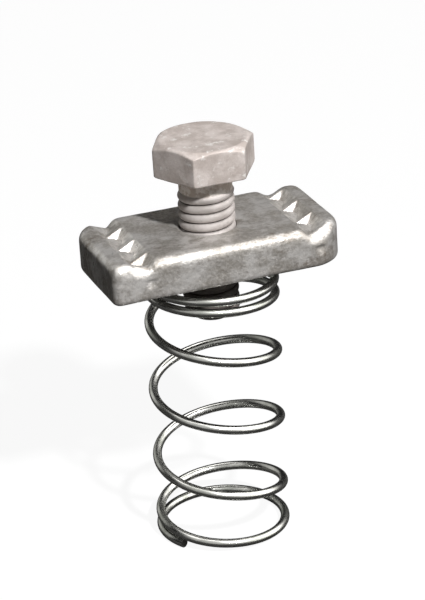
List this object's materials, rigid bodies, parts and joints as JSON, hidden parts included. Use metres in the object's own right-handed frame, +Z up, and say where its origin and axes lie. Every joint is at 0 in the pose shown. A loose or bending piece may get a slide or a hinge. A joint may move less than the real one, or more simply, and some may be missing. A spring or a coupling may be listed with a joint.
{
  "type": "strut spring nut",
  "caption": "Forged channel nut with toothed lip grooves, a hexagon set screw threaded through it and a long coil spring that holds it up in a strut channel.",
  "frame": {"origin": "on the floor, in the middle of the spring's foot, on the axis of the screw", "axes": "+Z up along the screw, +X along the nut's length, across the slot of the channel it grips"},
  "size_m": [0.0348, 0.0194, 0.0603],
  "materials": {
    "galvanised_nut": "hot-dip galvanised forging, mottled and matt",
    "galvanised_screw": "hot-dip galvanised, matt, rounded edges",
    "plated_spring_wire": "bright zinc-plated drawn wire"
  },
  "bodies": {
    "spring": {"coil_spring": "plated_spring_wire"},
    "nut": {"channel_nut": "galvanised_nut"},
    "screw": {"hex_set_screw": "galvanised_screw"}
  },
  "joints": [
    {"name": "nut_press", "type": "slide", "parent": "spring", "child": "nut", "axis": [0, 0, 1], "range_m": [-0.03, 0], "stiffness_N_per_m": 1100, "springref_m": 0.0005, "deforming": ["coil_spring"]},
    {"name": "screw_turn", "type": "hinge", "parent": "nut", "child": "screw", "pos_m": [0, 0, 0.0473], "axis": [0, 0, 1], "continuous": true}
  ]
}
